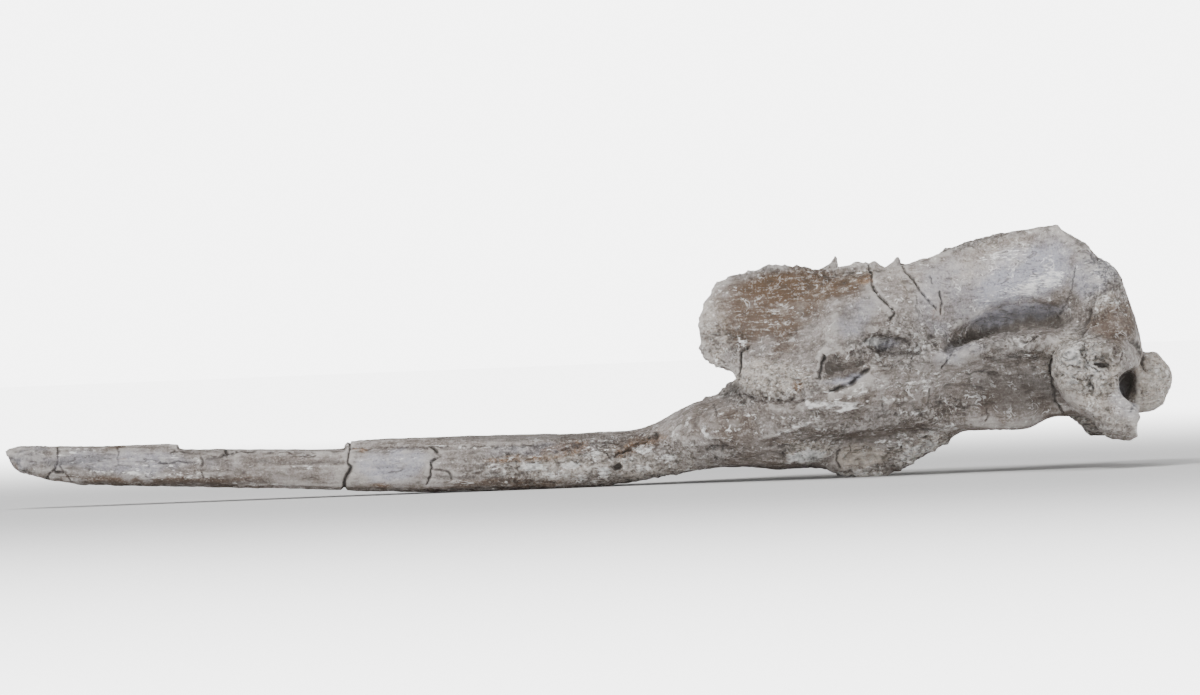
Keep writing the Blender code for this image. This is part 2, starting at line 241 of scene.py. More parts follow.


# Cracks, slits and sutures: depth in millimetres, half width in pixels, darkness, points; the darkness is
# partly the cracks' own dark colour and partly painted shade in them. The first list is on the near side
# only.
NEAR_CRACKS = [
    (1, 1.3, 0.9, (58, 445), (60, 452), (58, 459), (61, 465)),
    (1.6, 1.6, 1, (61, 463), (54, 470), (49, 477), (46, 483)), (2.2, 2.2, 1, (56, 471), (66, 472.5)),
    (1, 1.2, 0.7, (62, 464), (67, 473), (73, 481)), (0.5, 1, 0.5, (120, 445), (119, 454), (121, 463)),
    (0.9, 1.2, 0.9, (170, 452.5), (181, 451.5), (190, 453)),
    (1, 1.2, 0.8, (160, 463), (178, 461), (197, 462)),
    (0.8, 1.1, 0.8, (202, 455), (205, 461), (203, 468), (206, 478)), (2.6, 2.4, 1, (226, 449), (229, 454)),
    (1.4, 1.5, 1, (219, 456.5), (232, 454), (240, 451.5)),
    (0.6, 1, 0.8, (240, 451.5), (276, 452), (314, 452)), (0.6, 1, 0.7, (300, 455), (318, 455.5)),
    (1.3, 1.5, 1, (430, 446), (436, 451), (441, 454.5), (436, 459), (430.6, 461)),
    (1.6, 1.7, 1, (430.6, 461), (433, 468), (431, 475), (427, 484)),
    (1, 1.2, 0.8, (433, 468.5), (449, 471.5), (452.5, 479)),
    (2.2, 2.6, 0.95, (614, 456), (623, 451), (632, 446), (645, 440), (655, 434)),
    (1.2, 1.6, 0.8, (560, 451), (572, 446), (582, 443)), (1, 1.4, 0.8, (596, 447), (606, 452), (612, 459)),
    (1, 1.4, 0.7, (556, 461), (570, 459), (580, 463)), (2, 1.8, 0.9, (704, 451), (712, 448), (722, 447)),
    (1.6, 1.6, 0.9, (713, 455), (716, 459)), (1.2, 1.4, 0.8, (777, 452), (786, 449)),
    (1.4, 1.8, 0.8, (808, 456), (815, 461)), (0.6, 1.1, 0.6, (847, 444), (849, 450), (842, 457)),
    (0.7, 1.1, 0.7, (925, 387), (924, 402)), (0.8, 1.1, 0.7, (981, 402), (983, 412), (980, 421)),
    (1.8, 1.6, 1, (740, 352), (739, 364), (737, 378)), (1, 1.3, 0.8, (748, 346), (741, 352), (738, 356)),
    (2, 2.2, 1, (864, 266), (867, 274), (869, 286), (874, 295), (882, 304), (890.5, 313.5)),
    (1.6, 1.8, 1, (890.5, 313.5), (887, 318), (881, 322)), (0.9, 1.2, 0.8, (873, 262), (880, 266)),
    (1.4, 1.6, 1, (896, 262), (902, 273), (912, 285), (919, 296), (931, 311)),
    (0.7, 1.1, 0.9, (927, 279), (929, 286)), (1, 1.4, 1, (935, 291), (936, 301), (935.5, 315)),
    (0.4, 1, 0.4, (913, 296), (911, 305), (914, 320)), (1.3, 1.5, 1, (946, 353), (941, 361), (936, 369)),
    (1, 1.3, 0.8, (931, 343), (933, 350)),
    (0.9, 1.3, 0.9, (1016, 343), (1025, 341), (1032, 335.5), (1041, 334)),
    (0.6, 1.1, 0.7, (977, 340), (979, 349)),
    (0.5, 1, 0.8, (1069, 268), (1067, 279), (1064, 297), (1056, 313), (1051, 318)),
    (2.2, 2, 1, (1074, 342), (1071, 350), (1070, 356)),
    (1.2, 1.4, 0.8, (1071, 351), (1080, 347), (1087, 345)),
    (1.4, 1.5, 0.9, (1077, 366), (1084, 369), (1088, 371)),
    (1, 1.2, 0.7, (1098, 340), (1104, 345), (1108, 352)),
    (1, 1.1, 0.7, (1050, 356), (1058, 360), (1066, 359)),
    (1, 1.1, 0.8, (1060, 376), (1070, 380), (1077, 378)),
    (1.4, 1.5, 0.8, (1079, 377), (1080, 384), (1083, 391)), (1, 1.4, 0.8, (1110, 352), (1109, 362)),
    (1.4, 1.6, 0.9, (1130, 342), (1133, 352), (1138, 362)), (0.8, 1.3, 0.9, (1160, 358), (1166, 365)),
    (1.5, 1.8, 0.8, (1047, 373), (1049, 380)),
    (1.6, 2.2, 0.8, (1054, 343), (1046, 354), (1044, 370), (1048, 388), (1050, 400), (1058, 413)),
    (1, 1.4, 0.8, (762, 447), (790, 444), (812, 439)), (1.2, 1.6, 0.8, (838, 448), (834, 458), (840, 468)),
    (0.9, 1.3, 0.8, (1005, 356), (1022, 358), (1040, 356)),
    (1, 1.3, 0.8, (960, 374), (975, 371), (992, 374)), (0.8, 1.2, 0.8, (700, 396), (712, 402), (716, 414)),
    (0.8, 1.2, 0.7, (975, 402), (960, 407), (948, 405)), (0.8, 1.3, 0.8, (1046, 392), (1049, 399)),
]

# These are on both sides, for the bones of both sides meet alike; the wide ones are grooves and crevices
# whose darkness is painted shade, such as the groove below the cranium wall and the crevice under the
# orbit's shelf
BOTH_CRACKS = [
    (0.5, 1.1, 0.7, (346, 448), (372, 448.5), (430, 447), (500, 446), (560, 445), (610, 442), (650, 432)),
    (0.5, 1.6, 0.5, (690, 421), (712, 406), (735, 393)),
    (0.7, 3, 0.4, (740, 459), (785, 449), (828, 442), (871, 440), (914, 433), (948, 425)),
    (0.8, 2, 0.5, (1114, 284), (1100, 292), (1087, 299), (1084, 310), (1078, 327), (1068, 340)),
    (1, 2.2, 0.3, (738, 391), (748, 398), (762, 400), (776, 401), (790, 402), (806, 398)),
    (3.2, 3.2, 0.9, (819.5, 355), (818, 364), (814.5, 377)), (0.8, 1.6, 0.4, (814.5, 377), (812, 390)),
    (3, 3.4, 1, (826, 389), (836, 387), (846, 383), (856, 375), (863, 369)),
    (1.6, 4, 0.3, (832, 366), (846, 364), (858, 360)),
    (1.6, 4, 0.5, (938, 350), (951, 342), (966, 335), (984, 329), (1005, 325)),
    (1.2, 3, 0.6, (1122, 338), (1131, 347), (1138, 360), (1140, 372)),
]

# Soft forms along lines, on both sides: height in millimetres, half width in pixels, points
FORMS = [
    (1.4, 5, (930, 262), (950, 250), (975, 242), (1000, 239), (1030, 233), (1050, 230)),
    (1.4, 5, (1050, 231), (1072, 240), (1088, 252), (1102, 268), (1112, 290)),
    (0.8, 4, (820, 354), (838, 352), (852, 345), (866, 338)),
    (0.6, 5, (740, 466), (790, 466), (840, 474), (870, 476)),
    (0.8, 4, (735, 404), (760, 408), (790, 409), (820, 404), (862, 396)),
    (1.4, 5, (742, 272), (775, 266), (815, 270), (856, 267)),
    (-1.8, 12, (750, 290), (785, 286), (825, 284), (856, 280)),
    (1.6, 15, (742, 375), (775, 380), (803, 372)), (-3.2, 8, (826, 368), (842, 372), (857, 364)),
    (-1.6, 7, (830, 380), (848, 377)), (1.2, 5, (826, 396), (848, 391), (866, 380)),
    (-1.6, 8, (866, 342), (884, 347), (906, 351)), (0.9, 6, (866, 330), (884, 328), (905, 334), (925, 343)),
    (-2.8, 7, (944, 347), (958, 339), (975, 332), (998, 327), (1024, 323), (1048, 320)),
    (-1.6, 15, (975, 322), (1000, 312), (1048, 309)), (-1, 6, (826, 294), (825, 318), (823, 344)),
    (1.8, 6, (938, 335), (954, 324), (976, 314)), (1.8, 9, (953, 361), (969, 350)),
    (2.2, 8, (985, 346), (1010, 346), (1042, 344)), (-2.6, 10, (982, 374), (1010, 367), (1042, 370)),
    (2.4, 8, (835, 467), (863, 469), (892, 461)), (-1.4, 5, (770, 443), (828, 440), (880, 434), (930, 428)),
    (1.2, 5, (762, 433), (800, 424), (840, 428), (880, 424), (930, 416)),
    (-1.6, 6, (1100, 285), (1088, 300), (1082, 316), (1073, 334)), (-1, 3, (184, 449), (192, 450)),
    (-1.2, 3, (334, 449), (343, 448)), (0.9, 3, (347, 441), (356, 441), (366, 440)),
    (0.8, 3, (162, 444), (176, 445)), (0.7, 3, (240, 486), (266, 487)), (-0.8, 3, (274, 488), (286, 488)),
    (-2, 5, (1078, 336), (1098, 333), (1118, 338), (1131, 347), (1138, 362)),
]

# Forms of the rugged lump behind the window and of the lobes on the flank, near side only
NEAR_FORMS = [
    (2.8, 6, (1085, 349), (1099, 349)), (-3.6, 5, (1086, 361), (1097, 365)),
    (2.4, 5.5, (1084, 378), (1088, 390)),
    (-2.6, 2.8, (1077, 344), (1073, 355), (1076, 366), (1077, 378), (1081, 393)),
    (-1.8, 2.2, (1049, 374), (1061, 377), (1073, 380)), (-1.4, 2, (1048, 363), (1060, 366), (1072, 366)),
    (-1.4, 2.2, (1052, 392), (1064, 390), (1074, 396)), (2, 6, (1056, 352), (1065, 350)),
    (1.8, 5, (1054, 369), (1064, 371)), (1.6, 5, (1058, 384), (1068, 387)),
    (-1.6, 3, (1104, 352), (1106, 362), (1101, 372)), (1.6, 7, (1108, 372), (1112, 392), (1122, 414)),
    (1.4, 3.4, (803, 402), (815, 407), (835, 410), (862, 403)),
    (1, 2.4, (762, 435), (785, 429), (806, 421)), (1, 3, (845, 395), (862, 390)),
    (1.4, 3, (884, 411), (882, 402), (890, 397), (900, 398)),
    (1.2, 3, (868, 425), (862, 416), (870, 408), (882, 411)),
    (1.2, 3, (925, 412), (918, 402), (908, 399), (902, 405)), (1, 3, (930, 428), (920, 421), (908, 424)),
    (-1.6, 3, (700, 452), (712, 447), (724, 447)), (0.8, 2.4, (905, 383), (925, 380), (944, 376)),
    (1.2, 3, (868, 360), (884, 358), (900, 361), (915, 367)),
    (-1.2, 2.4, (940, 386), (958, 384), (976, 388)),
]

# Bites out of the rims, as spots whose size is their depth in millimetres
NOTCHES = [
    (1076, 243, 4, 5, 2.4), (1086, 249, 3, 4, 2), (1096, 257, 4, 4, 2.4), (1106, 266, 4, 5, 2),
    (1112, 279, 3, 4, 2.2), (1058, 236, 4, 4, 2), (811, 268, 3, 4, 2.6), (790, 266, 5, 3, 1.6),
    (748, 271, 4, 4, 1.8), (704, 318, 4, 4, 1.8), (706, 298, 4, 3, 1.6), (722, 366, 4, 4, 1.6),
    (951, 441, 4, 4, 2), (1003, 436, 5, 4, 1.6), (1113, 432, 5, 4, 1.8), (1090, 428, 5, 4, 1.6),
]

# Chalky strokes of the near side: half width in pixels, strength, points
CHALK_STROKES = [
    (2.6, 1, (803, 401), (806, 405), (818, 407), (835, 410), (850, 407), (864, 402)),
    (1.4, 0.9, (762, 435), (773, 433), (785, 429)), (1.3, 0.8, (788, 427), (806, 421)),
    (1.6, 0.8, (845, 396), (852, 392), (862, 390)), (1.6, 0.8, (905, 384), (915, 381), (924, 380)),
    (1.8, 0.9, (884, 411), (880, 405), (885, 399), (895, 397)),
    (1.6, 0.8, (897, 411), (910, 413), (924, 409)), (1.6, 0.8, (870, 423), (880, 428), (896, 427)),
    (2.2, 0.9, (925, 431), (940, 427), (952, 422)), (2, 0.8, (868, 444), (882, 441), (900, 440)),
    (1.4, 0.7, (812, 440), (824, 438)), (1.6, 0.7, (752, 433), (756, 430)),
    (1.8, 0.8, (916, 353), (930, 350), (938, 352)), (1.2, 0.7, (742, 320), (755, 323)),
    (1.2, 0.8, (758, 322), (768, 324), (778, 323)), (1.4, 0.8, (790, 309), (799, 308)),
    (1.2, 0.6, (765, 313), (776, 311)), (1.2, 0.6, (814, 333), (817, 330)),
    (1, 0.6, (1080, 301), (1092, 301), (1108, 299)), (1, 0.6, (870, 365), (890, 366), (905, 368)),
    (1.1, 1, (60, 455), (72, 453), (86, 451)), (0.9, 0.8, (87, 451.5), (98, 450.5)),
    (1.1, 0.8, (84, 469), (100, 471), (119, 471.5)), (1.2, 0.9, (125, 472), (140, 471.5), (156, 470)),
    (1, 0.8, (127, 466), (145, 464.5), (161, 464)), (1.3, 0.8, (168, 466), (184, 465), (199, 466)),
    (1, 0.7, (63, 461), (80, 462.5), (100, 462)), (1, 0.7, (195, 457), (201, 459), (204, 466)),
    (1.2, 0.6, (356, 451), (392, 450.5), (428, 449.5)), (1.4, 0.7, (455, 447), (500, 447), (556, 446)),
    (1.6, 0.7, (700, 430), (716, 425), (730, 423)), (1.4, 0.7, (820, 392), (846, 390), (868, 384)),
    (1.4, 0.7, (955, 392), (968, 396), (978, 394)), (1.3, 0.9, (700, 433), (722, 429), (745, 431)),
    (1.2, 0.8, (715, 412), (735, 415), (752, 413)), (1.3, 0.8, (760, 417), (778, 414), (790, 418)),
    (1.2, 0.8, (812, 428), (830, 430), (846, 427)), (1.2, 0.8, (925, 372), (942, 375), (960, 371)),
    (1.2, 0.8, (905, 392), (915, 389), (930, 392)), (1.3, 0.8, (1128, 372), (1124, 366), (1116, 363)),
    (1.4, 0.9, (1148, 372), (1160, 368), (1166, 376)),
]

# Small shifts that bring the outline onto the photograph's: u, v, reach, shift in u and in v, pixels
SHIFTS = [
    (702, 310, 28, -4.4, 0), (706, 352, 14, -3.6, 1), (722, 389, 14, 1, 2.6), (664, 419, 20, 0, 1.5),
    (970, 243, 26, 0, 1.4), (1070, 235, 20, -1.4, 3.8), (1097, 252, 22, -4.8, 5.2), (1126, 300, 26, -2, 0),
    (1150, 354, 9, 1, -3.4), (1167, 395, 14, -2, -0.6), (1143, 426, 12, -13, 0), (1080, 426, 9, 1, -3),
    (1139, 436, 7, -4, 0), (1100, 431, 14, 0, 4.4), (1046, 422, 16, 0, -3.8), (955, 436, 14, 0, -3),
    (1119, 377, 13, -7, 0), (1119, 395, 13, -7, 0), (1143, 377, 13, -7, 0), (1143, 395, 13, -7, 0),
    (1144, 410, 10, -5, 0), (170, 445, 8, 4.5, 0), (186, 448, 8, -4.5, 0), (334, 451, 10, 8, 0),
]

# Splinters that stand on the far crest's edge: foot u and v, tip u and v, radius in millimetres
SPLINTERS = [
    (835, 273, 837.5, 254.5, 3.4), (829, 275, 833, 264, 4), (899, 269, 902, 255, 3.4),
    (894, 271, 897, 262, 3.4),
]
SPLINTER_Y = 43.0
SPLINTER_TAPER = 0.22

# Knobs of the near side, as spots whose size is twice their height in millimetres
NEAR_KNOBS = [
    (1093, 348, 10, 7, 1.8, 10), (1060, 353, 9, 9, 1.5), (1058, 378, 8, 13, 1.3, -25),
    (1092, 384, 10, 12, 1.2, 10), (1108, 358, 8, 10, 1), (875, 331, 16, 5, 1.4, -10),
    (893, 360, 20, 5, 1.2), (846, 352, 16, 6, 1, 12), (918, 345, 14, 7, 1, -10), (893, 420, 14, 12, 0.9),
    (925, 408, 16, 9, 0.8), (806, 456, 16, 7, 1, 5), (600, 470, 22, 9, 0.7), (560, 474, 30, 8, 0.6),
    (645, 452, 16, 7, 0.8, 20), (975, 361, 24, 5, 0.8), (1100, 302, 14, 9, 0.7), (1150, 372, 12, 12, 0.4),
]

# Pits of the near side, as spots whose size is their depth in millimetres
NEAR_PITS = [
    (617.5, 467, 7.5, 6, 3.6, 20), (655, 434.5, 3.6, 5.5, 3, -30), (578.5, 445, 2.4, 1.8, 1.4, 30),
    (565, 449, 2.2, 1.8, 1.2, 30), (625, 455, 4.5, 3, 1.6, 20), (745, 349, 3, 2.4, 1.6, 20),
    (735, 388, 4, 6, 2, -20), (726, 392, 4, 3, 1.4, 20), (748, 397, 4.5, 2.6, 2.2, -20),
    (763, 397, 3.4, 2.2, 1.8, 10), (776, 399, 4, 2.2, 2), (789, 398, 4.5, 2.6, 2.2, 20),
    (800, 400, 3, 2, 1.4), (1092, 364, 7.5, 5.5, 2.8, 20), (1083, 347, 5, 2.6, 1.2, 10),
    (1048, 375, 3.6, 3.6, 2.2), (878, 346, 9, 4, 1.6, 20), (899, 352, 7, 4, 1.8), (862, 341, 4, 3, 1.6),
    (812, 458, 3, 3, 2.2), (781, 455, 3.5, 3.5, 2), (930, 344, 3, 4, 1.6), (1137, 393, 3, 5, 1.6),
]

# Soft patches, as spots whose size is their strength
ROUGH_PATCHES = [
    (600, 463, 130, 26, 0.9, 3), (560, 478, 90, 12, 0.8), (715, 452, 40, 16, 0.7, 5),
    (775, 385, 50, 22, 0.75), (722, 345, 24, 30, 0.55), (735, 392, 22, 14, 1, -30), (885, 345, 50, 20, 1),
    (915, 325, 30, 14, 0.55, -20), (845, 420, 70, 18, 0.55, 8), (930, 415, 40, 22, 0.6),
    (860, 473, 34, 8, 1), (915, 452, 38, 14, 1, 20), (805, 454, 28, 12, 1, 5), (1078, 366, 40, 34, 1, -50),
    (1095, 425, 34, 12, 0.8, -40), (1152, 380, 22, 34, 0.5), (1000, 347, 60, 14, 0.75),
    (970, 243, 50, 9, 0.8, 14), (1095, 262, 40, 12, 0.8, -50), (1100, 305, 18, 24, 0.7, -20),
    (780, 272, 90, 9, 0.7), (30, 474, 30, 8, 0.9, -25), (35, 460, 26, 12, 0.35),
]
KNOBBLY_PATCHES = [
    (1072, 366, 34, 30, 1, -50), (1098, 350, 20, 12, 0.7), (1085, 415, 30, 12, 0.6, -40),
    (885, 345, 44, 16, 0.8), (1010, 345, 44, 9, 0.5), (897, 411, 34, 18, 0.6), (915, 455, 34, 12, 0.7, 20),
    (862, 474, 32, 6, 0.6), (806, 455, 28, 9, 0.5, 5), (600, 468, 80, 14, 0.45, 3),
    (730, 391, 14, 9, 0.9, -30), (775, 394, 44, 8, 0.6), (868, 270, 12, 8, 0.9), (970, 243, 50, 6, 0.5, 14),
    (1092, 256, 34, 8, 0.5, -50), (790, 268, 60, 5, 0.5), (1124, 405, 12, 10, 0.8),
    (1155, 380, 18, 30, 0.2),
]
SMOOTH_PATCHES = [
    (775, 300, 60, 30, 0.8), (852, 312, 34, 24, 1, 20), (1010, 275, 70, 36, 1, 18),
    (930, 300, 40, 36, 0.7, 20), (1112, 402, 20, 22, 1, 10), (395, 462, 50, 16, 0.6),
    (1020, 400, 50, 26, 0.5), (955, 355, 26, 14, 0.6, 10),
]
# Brown stains; the long strips along the snout's underside at v 480 and 484 are painted shade
BROWN_PATCHES = [
    (790, 288, 72, 20, 1, 6), (748, 315, 40, 34, 0.85, 20), (790, 318, 38, 18, 0.8, 30),
    (785, 345, 26, 12, 0.5, 20), (846, 280, 26, 9, 1, 10), (780, 345, 40, 12, 0.35, 10),
    (1110, 322, 26, 28, 0.75, -15), (862, 455, 34, 10, 0.35), (1015, 404, 46, 22, 0.35),
    (880, 398, 60, 10, 0.35, 5), (565, 452, 40, 11, 0.55, 8), (722, 424, 46, 24, 0.42, -15),
    (640, 445, 34, 10, 0.6, 25), (160, 480, 120, 5, 0.8, 1), (520, 484, 70, 5, 0.8), (385, 481, 9, 5, 0.8),
    (113, 448, 12, 3, 0.7), (280, 470, 70, 20, 0.25), (1095, 364, 10, 8, 0.8),
]
# Blue-grey stains; the patch above the orbit at u 880 is a painted highlight, and the large one on the
# cranium wall is partly a painted highlight
BLUE_PATCHES = [
    (852, 315, 26, 20, 0.6, 30), (842, 377, 22, 8, 1, 10), (1015, 275, 60, 34, 1, 18),
    (940, 300, 34, 40, 0.55, 20), (1085, 275, 26, 26, 0.7, -40), (955, 352, 24, 14, 0.6, 15),
    (395, 462, 40, 14, 0.8), (120, 462, 110, 12, 0.6), (540, 452, 60, 7, 0.5, 4),
    (1112, 402, 22, 24, 0.7, 10), (880, 339, 18, 6, 0.9, -10), (805, 456, 26, 8, 0.4, 5),
    (1015, 315, 56, 12, 0.9, 6), (30, 458, 26, 12, 0.6),
]
CREAM_PATCHES = [
    (862, 457, 34, 12, 1), (712, 330, 16, 50, 0.5), (770, 378, 46, 22, 0.85), (1075, 368, 38, 34, 1, -50),
    (1100, 418, 32, 16, 0.6, -40), (1150, 382, 24, 34, 1), (600, 466, 110, 16, 0.65, 2),
    (805, 454, 28, 10, 0.9, 5), (862, 474, 30, 6, 0.8), (918, 450, 34, 11, 0.7, 20),
    (980, 262, 60, 20, 0.5, 20), (1100, 303, 16, 14, 0.6), (875, 275, 60, 14, 0.35, -10),
    (800, 302, 60, 10, 0.2, 30),
]
# Chalk; the patch above the orbit at u 872 is a painted highlight, and those on the cranium wall about u
# 990 to 1034 are partly chalk and partly a painted highlight
WHITE_PATCHES = [
    (534, 467, 18, 5, 1), (594, 454, 12, 5, 0.85, 10), (572, 465, 14, 5, 0.9, 5), (556, 474, 16, 5, 0.8),
    (500, 474, 12, 5, 0.7), (505, 458, 10, 3, 0.6), (642, 448, 11, 6, 0.9, 20), (666, 455, 9, 5, 0.8, 10),
    (606, 472, 10, 7, 1), (640, 466, 10, 5, 0.8, 10), (630, 459, 8, 4, 0.8, 20), (582, 479, 12, 5, 0.7),
    (803, 456, 24, 8, 1, 8), (832, 404, 34, 4, 0.8), (795, 427, 26, 4, 0.7, 18), (905, 441, 46, 5, 0.6, 14),
    (915, 450, 30, 8, 0.8, 22), (862, 474, 26, 5, 0.8), (1034, 284, 34, 13, 0.8, 25),
    (1003, 255, 34, 10, 0.7, 15), (990, 298, 24, 8, 0.6, 20), (1102, 302, 18, 5, 0.8),
    (852, 385, 50, 5, 0.5, 5), (905, 382, 40, 6, 0.6, 4), (872, 340, 18, 5, 1, 10),
    (918, 352, 14, 5, 0.7, -10), (100, 455, 50, 5, 0.35, 3), (170, 462, 40, 5, 0.35, 2),
    (1095, 272, 14, 18, 0.65, -50), (1118, 300, 8, 20, 0.4, -20), (712, 315, 10, 40, 0.3),
    (770, 375, 50, 24, 0.5), (1072, 366, 36, 32, 0.75, -50), (1062, 356, 12, 10, 1, -50),
    (1110, 400, 16, 22, 0.55, 10), (1126, 428, 5, 7, 1), (1152, 385, 20, 30, 0.55),
    (790, 314, 50, 18, 0.2, 10),
]
RUST_PATCHES = [
    (520, 459, 40, 4, 1, 2), (565, 450, 30, 9, 0.8, 10), (635, 447, 26, 6, 1, 25),
    (660, 432, 14, 8, 0.7, 30), (862, 281, 9, 6, 1), (796, 385, 8, 8, 0.9), (778, 372, 8, 5, 0.6),
    (905, 285, 10, 18, 0.5, -30), (932, 312, 8, 10, 0.6), (800, 345, 22, 8, 0.3, 30),
    (790, 440, 30, 6, 0.4, 10), (590, 447, 80, 8, 0.4, 6), (510, 460.5, 16, 2.2, 1, 2),
    (545, 459, 12, 3, 0.9), (362, 449.5, 12, 2, 1), (124, 459, 6, 2, 1), (385, 481, 7, 5, 0.6),
    (16, 465, 8, 4, 0.7, -50),
]
# Dark stains and lines, and painted shade: in the pits, in the temporal groove and on the wall below the
# ledge, in the orbit and under its shelf, on the crest plate's face and along the snout's underside
DARK_PATCHES = [
    (160, 484, 120, 5.5, 0.9, 1), (210, 451.5, 34, 2.5, 0.5), (888, 351, 26, 6.5, 0.85),
    (1000, 347, 50, 7, 0.14), (852, 318, 28, 20, 0.38, 30), (840, 371, 22, 7, 0.55),
    (722, 424, 46, 22, 0.16, -15), (775, 420, 60, 20, 0.1), (624, 453, 12, 4, 0.5, 30),
    (548, 487, 14, 4, 0.5), (990, 325, 30, 8, 0.6, 22), (1018, 316, 46, 10, 0.75, 6),
    (1010, 392, 54, 24, 0.8), (1020, 392, 34, 16, 0.6), (1030, 418, 30, 8, 0.4), (1122, 384, 10, 19, 1, 5),
    (900, 343, 16, 9, 0.4, 20), (733, 388, 12, 8, 0.7, -30), (617, 467, 7, 5, 0.9), (655, 434, 4, 5, 0.9),
    (1092, 364, 7, 5, 0.6), (712, 455, 14, 6, 0.5), (780, 455, 5, 5, 0.9), (18, 469, 14, 3, 0.5, -45),
    (80, 463, 60, 20, 0.2), (810, 458, 5, 5, 0.7), (950, 362, 60, 6, 0.4, 3), (520, 438, 100, 4, 0.6),
]

# The old break across the snout, from the top down: u, v
BREAK = [(349.5, 436), (350.5, 448), (349, 462), (352.5, 466), (349.5, 472), (346, 479), (344.5, 495)]
BREAK_HALF_WIDTHS = [0.9, 0.9, 0.9, 2.3, 2.3, 2.3, 2.8]


def side_share(y, normals, side):
    """1 on what faces outwards on one side of the skull, 0 on the rest."""
    outwards = normals[:, 1] * side
    return ease(0.05, 0.45, outwards) * ease(1.0, 5.0, y * side)


def crack_relief(u, v, share, cracks, wobble):
    """Depth and darkness of a list of cracks, over the share of the surface they are on; the darkness is
    dark crack colour and painted shade.
    """
    depth = np.zeros(len(u))
    dark = np.zeros(len(u))
    for deep, half, shade, *points in cracks:
        near = box_around(u, v, share, points, half * 2 + 3)
        away, along = line_distance(u[near] + wobble[near, 0], v[near] + wobble[near, 1], points)
        ends = ease(-0.02, 0.12, along) * ease(-0.02, 0.12, 1 - along)
        width = half * (0.6 + 0.4 * ends)
        cut_and_shade = np.clip(1 - away / width, 0, 1) ** 0.8 * share[near]
        depth[near] = np.maximum(depth[near], deep * cut_and_shade * (0.5 + 0.5 * ends))
        dark[near] = np.maximum(dark[near], shade * ease(0.15, 0.7, cut_and_shade))
    return depth, dark


def form_relief(u, v, share, forms):
    """Sum of the heights of soft forms, over the share of the surface they are on."""
    height = np.zeros(len(u))
    for tall, half, *points in forms:
        near = box_around(u, v, share, points, half * 2.5)
        away, _ = line_distance(u[near], v[near], points)
        height[near] += tall * np.exp(-((away / half) ** 2)) * share[near]
    return height


def stroke_share(u, v, share):
    """How chalky the near side's strokes make each point."""
    chalk = np.zeros(len(u))
    for half, strength, *points in CHALK_STROKES:
        away, _ = line_distance(u, v, points)
        stroke = 1.3 * strength * (1 - ease(0.5, 1.1, away / half)) * share
        chalk = np.maximum(chalk, stroke)
    return chalk


def break_width(u, v):
    """1 inside the old break across the snout, all the way round it."""
    us, vs = zip(*BREAK)
    middle = np.interp(v, vs, us)
    half = np.interp(v, vs, BREAK_HALF_WIDTHS)
    return np.clip(1.3 - np.abs(u - middle) / half, 0, 1)


def tooth_sockets(u, y, v, normals):
    """Depth of the two rows of shallow tooth sockets along the snout's underside."""
    half_width = np.interp(u, [5, 20, 80, 200, 420, 620, 680], [4, 11, 15.5, 20, 25, 31, 36])
    along = (u + np.where(y > 0, 5.0, 0.0)) / SOCKET_SPACING
    du = (along - np.floor(along) - 0.5) * SOCKET_SPACING * MM_PER_PIXEL
    dy = np.abs(y) - 0.66 * half_width
    away = np.hypot(du / SOCKET_HALVES[0], dy / SOCKET_HALVES[1])
    there = ease(24, 34, u) * (1 - ease(560, 640, u))
    there = there * ease(0.35, 0.7, -normals[:, 2])
    return SOCKET_DEPTH * (1 - ease(0.35, 1.0, away)) * there


def midline_groove(u, y, normals):
    """The groove between the two bones on top of the snout, and the keel seam under it."""
    up = ease(0.3, 0.7, normals[:, 2])
    half = np.interp(u, [5, 60, 340, 640, 800], [0.8, 1.6, 2.6, 3.6, 5.0])
    depth = np.interp(u, [5, 40, 700, 860], [0.6, 2.2, 2.8, 0.0])
    top = np.clip(1 - np.abs(y) / half, 0, 1) ** 0.7 * depth * up
    down = ease(0.4, 0.8, -normals[:, 2])
    seam = np.clip(1 - np.abs(y) / 1.1, 0, 1) * 0.7 * down * (1 - ease(820, 860, u))
    return top + seam


def back_relief(y, v, normals):
    """The low upright crest down the middle of the back, and the shallow hollows beside it."""
    behind = ease(0.35, 0.8, normals[:, 0])
    there = behind * ease(245, 265, v) * (1 - ease(325, 345, v))
    crest = 1.4 * np.exp(-((y / 3.2) ** 2))
    hollows = 1.3 * np.exp(-(((np.abs(y) - 17) / 8) ** 2))
    return (crest - hollows) * there


def place_masks(points):
    """Everything that depends on the place alone: u, y and v, their grain, and the soft patches."""
    u, y, v = photo_place(points)
    grain = np.stack([u * MM_PER_PIXEL, y, v * MM_PER_PIXEL], axis=1)
    spread = noise_pair(grain, 22, (301, 308))
    fray = noise_pair(grain, 7, (401, 408))
    # The far side reads the masks a little off, so that it isn't a plain mirror
    far = ease(-4, 4, y)
    su = u + far * (9 + 10 * spread[:, 0])
    sv = v + far * 7 * spread[:, 1]
    mu = su + 7 * spread[:, 0] + 3 * fray[:, 0]
    mv = sv + 5 * spread[:, 1] + 2.5 * fray[:, 1]
    tight_u = su + 2.5 * spread[:, 0] + 2.0 * fray[:, 0]
    tight_v = sv + 1.5 * spread[:, 1] + 1.2 * fray[:, 1]
    return {
        "place": (u, y, v, grain),
        "rough": spot_share(mu, mv, ROUGH_PATCHES),
        "brown": spot_share(mu, mv, BROWN_PATCHES),
        "blue": spot_share(mu, mv, BLUE_PATCHES),
        "cream": spot_share(mu, mv, CREAM_PATCHES),
        "white": spot_share(tight_u, tight_v, WHITE_PATCHES),
        "rust": spot_share(tight_u, tight_v, RUST_PATCHES),
        "dark": spot_share(tight_u, tight_v, DARK_PATCHES),
        "smooth": spot_share(mu, mv, SMOOTH_PATCHES),
        "knobbly": spot_share(mu, mv, KNOBBLY_PATCHES),
    }


